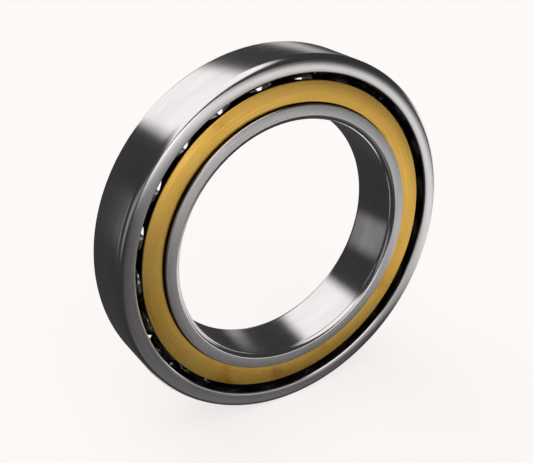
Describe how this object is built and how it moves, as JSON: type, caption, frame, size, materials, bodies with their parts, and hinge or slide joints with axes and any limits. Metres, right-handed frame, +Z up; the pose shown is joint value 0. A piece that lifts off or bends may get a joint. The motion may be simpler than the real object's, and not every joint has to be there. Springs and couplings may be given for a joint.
{
  "type": "angular contact ball bearing",
  "caption": "Open angular contact ball bearing: an outer and an inner steel ring, with a row of steel balls in a one-piece machined brass cage between them.",
  "frame": {"origin": "centre of the bearing: on the spin axis, half way across the rings", "axes": "+Y along the spin axis, from the open counterbored side to the thrust shoulder side; +Z up with the bearing standing on its rim"},
  "size_m": [0.15, 0.024, 0.15],
  "materials": {
    "ring_steel": "ground and polished",
    "cage_brass": "turned, lightly tarnished",
    "ball_steel": "lapped mirror"
  },
  "bodies": {
    "outer_ring": {"outer_ring": "ring_steel"},
    "inner_ring": {"inner_ring": "ring_steel"},
    "cage": {"cage": "cage_brass"},
    "ball_01": {"ball_01": "ball_steel"},
    "ball_02": {"ball_02": "ball_steel"},
    "ball_03": {"ball_03": "ball_steel"},
    "ball_04": {"ball_04": "ball_steel"},
    "ball_05": {"ball_05": "ball_steel"},
    "ball_06": {"ball_06": "ball_steel"},
    "ball_07": {"ball_07": "ball_steel"},
    "ball_08": {"ball_08": "ball_steel"},
    "ball_09": {"ball_09": "ball_steel"},
    "ball_10": {"ball_10": "ball_steel"},
    "ball_11": {"ball_11": "ball_steel"},
    "ball_12": {"ball_12": "ball_steel"},
    "ball_13": {"ball_13": "ball_steel"},
    "ball_14": {"ball_14": "ball_steel"},
    "ball_15": {"ball_15": "ball_steel"},
    "ball_16": {"ball_16": "ball_steel"},
    "ball_17": {"ball_17": "ball_steel"},
    "ball_18": {"ball_18": "ball_steel"},
    "ball_19": {"ball_19": "ball_steel"},
    "ball_20": {"ball_20": "ball_steel"},
    "ball_21": {"ball_21": "ball_steel"},
    "ball_22": {"ball_22": "ball_steel"}
  },
  "joints": [
    {"name": "inner_ring_spin", "type": "hinge", "parent": "outer_ring", "child": "inner_ring", "pos_m": [0, 0, 0], "axis": [0, 1, 0], "continuous": true},
    {"name": "cage_orbit", "type": "hinge", "parent": "outer_ring", "child": "cage", "pos_m": [0, -0.001, 0], "axis": [0, 1, 0], "continuous": true},
    {"name": "ball_01_spin", "type": "hinge", "parent": "cage", "child": "ball_01", "pos_m": [0.06196, -0.001, 0.00216], "axis": [-0.4224, 0.9063, -0.0147], "continuous": true},
    {"name": "ball_02_spin", "type": "hinge", "parent": "cage", "child": "ball_02", "pos_m": [0.05884, -0.001, 0.01953], "axis": [-0.4011, 0.9063, -0.1331], "continuous": true},
    {"name": "ball_03_spin", "type": "hinge", "parent": "cage", "child": "ball_03", "pos_m": [0.05096, -0.001, 0.03532], "axis": [-0.3473, 0.9063, -0.2408], "continuous": true},
    {"name": "ball_04_spin", "type": "hinge", "parent": "cage", "child": "ball_04", "pos_m": [0.03894, -0.001, 0.04824], "axis": [-0.2654, 0.9063, -0.3289], "continuous": true},
    {"name": "ball_05_spin", "type": "hinge", "parent": "cage", "child": "ball_05", "pos_m": [0.02377, -0.001, 0.05726], "axis": [-0.162, 0.9063, -0.3903], "continuous": true},
    {"name": "ball_06_spin", "type": "hinge", "parent": "cage", "child": "ball_06", "pos_m": [0.00668, -0.001, 0.06164], "axis": [-0.0455, 0.9063, -0.4202], "continuous": true},
    {"name": "ball_07_spin", "type": "hinge", "parent": "cage", "child": "ball_07", "pos_m": [-0.01096, -0.001, 0.06102], "axis": [0.0747, 0.9063, -0.416], "continuous": true},
    {"name": "ball_08_spin", "type": "hinge", "parent": "cage", "child": "ball_08", "pos_m": [-0.02771, -0.001, 0.05546], "axis": [0.1889, 0.9063, -0.3781], "continuous": true},
    {"name": "ball_09_spin", "type": "hinge", "parent": "cage", "child": "ball_09", "pos_m": [-0.04221, -0.001, 0.04541], "axis": [0.2877, 0.9063, -0.3095], "continuous": true},
    {"name": "ball_10_spin", "type": "hinge", "parent": "cage", "child": "ball_10", "pos_m": [-0.0533, -0.001, 0.03168], "axis": [0.3633, 0.9063, -0.2159], "continuous": true},
    {"name": "ball_11_spin", "type": "hinge", "parent": "cage", "child": "ball_11", "pos_m": [-0.06006, -0.001, 0.01538], "axis": [0.4094, 0.9063, -0.1048], "continuous": true},
    {"name": "ball_12_spin", "type": "hinge", "parent": "cage", "child": "ball_12", "pos_m": [-0.06196, -0.001, -0.00216], "axis": [0.4224, 0.9063, 0.0147], "continuous": true},
    {"name": "ball_13_spin", "type": "hinge", "parent": "cage", "child": "ball_13", "pos_m": [-0.05884, -0.001, -0.01953], "axis": [0.4011, 0.9063, 0.1331], "continuous": true},
    {"name": "ball_14_spin", "type": "hinge", "parent": "cage", "child": "ball_14", "pos_m": [-0.05096, -0.001, -0.03532], "axis": [0.3473, 0.9063, 0.2408], "continuous": true},
    {"name": "ball_15_spin", "type": "hinge", "parent": "cage", "child": "ball_15", "pos_m": [-0.03894, -0.001, -0.04824], "axis": [0.2654, 0.9063, 0.3289], "continuous": true},
    {"name": "ball_16_spin", "type": "hinge", "parent": "cage", "child": "ball_16", "pos_m": [-0.02377, -0.001, -0.05726], "axis": [0.162, 0.9063, 0.3903], "continuous": true},
    {"name": "ball_17_spin", "type": "hinge", "parent": "cage", "child": "ball_17", "pos_m": [-0.00668, -0.001, -0.06164], "axis": [0.0455, 0.9063, 0.4202], "continuous": true},
    {"name": "ball_18_spin", "type": "hinge", "parent": "cage", "child": "ball_18", "pos_m": [0.01096, -0.001, -0.06102], "axis": [-0.0747, 0.9063, 0.416], "continuous": true},
    {"name": "ball_19_spin", "type": "hinge", "parent": "cage", "child": "ball_19", "pos_m": [0.02771, -0.001, -0.05546], "axis": [-0.1889, 0.9063, 0.3781], "continuous": true},
    {"name": "ball_20_spin", "type": "hinge", "parent": "cage", "child": "ball_20", "pos_m": [0.04221, -0.001, -0.04541], "axis": [-0.2877, 0.9063, 0.3095], "continuous": true},
    {"name": "ball_21_spin", "type": "hinge", "parent": "cage", "child": "ball_21", "pos_m": [0.0533, -0.001, -0.03168], "axis": [-0.3633, 0.9063, 0.2159], "continuous": true},
    {"name": "ball_22_spin", "type": "hinge", "parent": "cage", "child": "ball_22", "pos_m": [0.06006, -0.001, -0.01538], "axis": [-0.4094, 0.9063, 0.1048], "continuous": true}
  ],
  "couplings": [
    {"joint": "cage_orbit", "follows": "inner_ring_spin", "ratio": 0.44199},
    {"joint": "ball_01_spin", "follows": "inner_ring_spin", "ratio": -3.8529},
    {"joint": "ball_02_spin", "follows": "inner_ring_spin", "ratio": -3.8529},
    {"joint": "ball_03_spin", "follows": "inner_ring_spin", "ratio": -3.8529},
    {"joint": "ball_04_spin", "follows": "inner_ring_spin", "ratio": -3.8529},
    {"joint": "ball_05_spin", "follows": "inner_ring_spin", "ratio": -3.8529},
    {"joint": "ball_06_spin", "follows": "inner_ring_spin", "ratio": -3.8529},
    {"joint": "ball_07_spin", "follows": "inner_ring_spin", "ratio": -3.8529},
    {"joint": "ball_08_spin", "follows": "inner_ring_spin", "ratio": -3.8529},
    {"joint": "ball_09_spin", "follows": "inner_ring_spin", "ratio": -3.8529},
    {"joint": "ball_10_spin", "follows": "inner_ring_spin", "ratio": -3.8529},
    {"joint": "ball_11_spin", "follows": "inner_ring_spin", "ratio": -3.8529},
    {"joint": "ball_12_spin", "follows": "inner_ring_spin", "ratio": -3.8529},
    {"joint": "ball_13_spin", "follows": "inner_ring_spin", "ratio": -3.8529},
    {"joint": "ball_14_spin", "follows": "inner_ring_spin", "ratio": -3.8529},
    {"joint": "ball_15_spin", "follows": "inner_ring_spin", "ratio": -3.8529},
    {"joint": "ball_16_spin", "follows": "inner_ring_spin", "ratio": -3.8529},
    {"joint": "ball_17_spin", "follows": "inner_ring_spin", "ratio": -3.8529},
    {"joint": "ball_18_spin", "follows": "inner_ring_spin", "ratio": -3.8529},
    {"joint": "ball_19_spin", "follows": "inner_ring_spin", "ratio": -3.8529},
    {"joint": "ball_20_spin", "follows": "inner_ring_spin", "ratio": -3.8529},
    {"joint": "ball_21_spin", "follows": "inner_ring_spin", "ratio": -3.8529},
    {"joint": "ball_22_spin", "follows": "inner_ring_spin", "ratio": -3.8529}
  ]
}
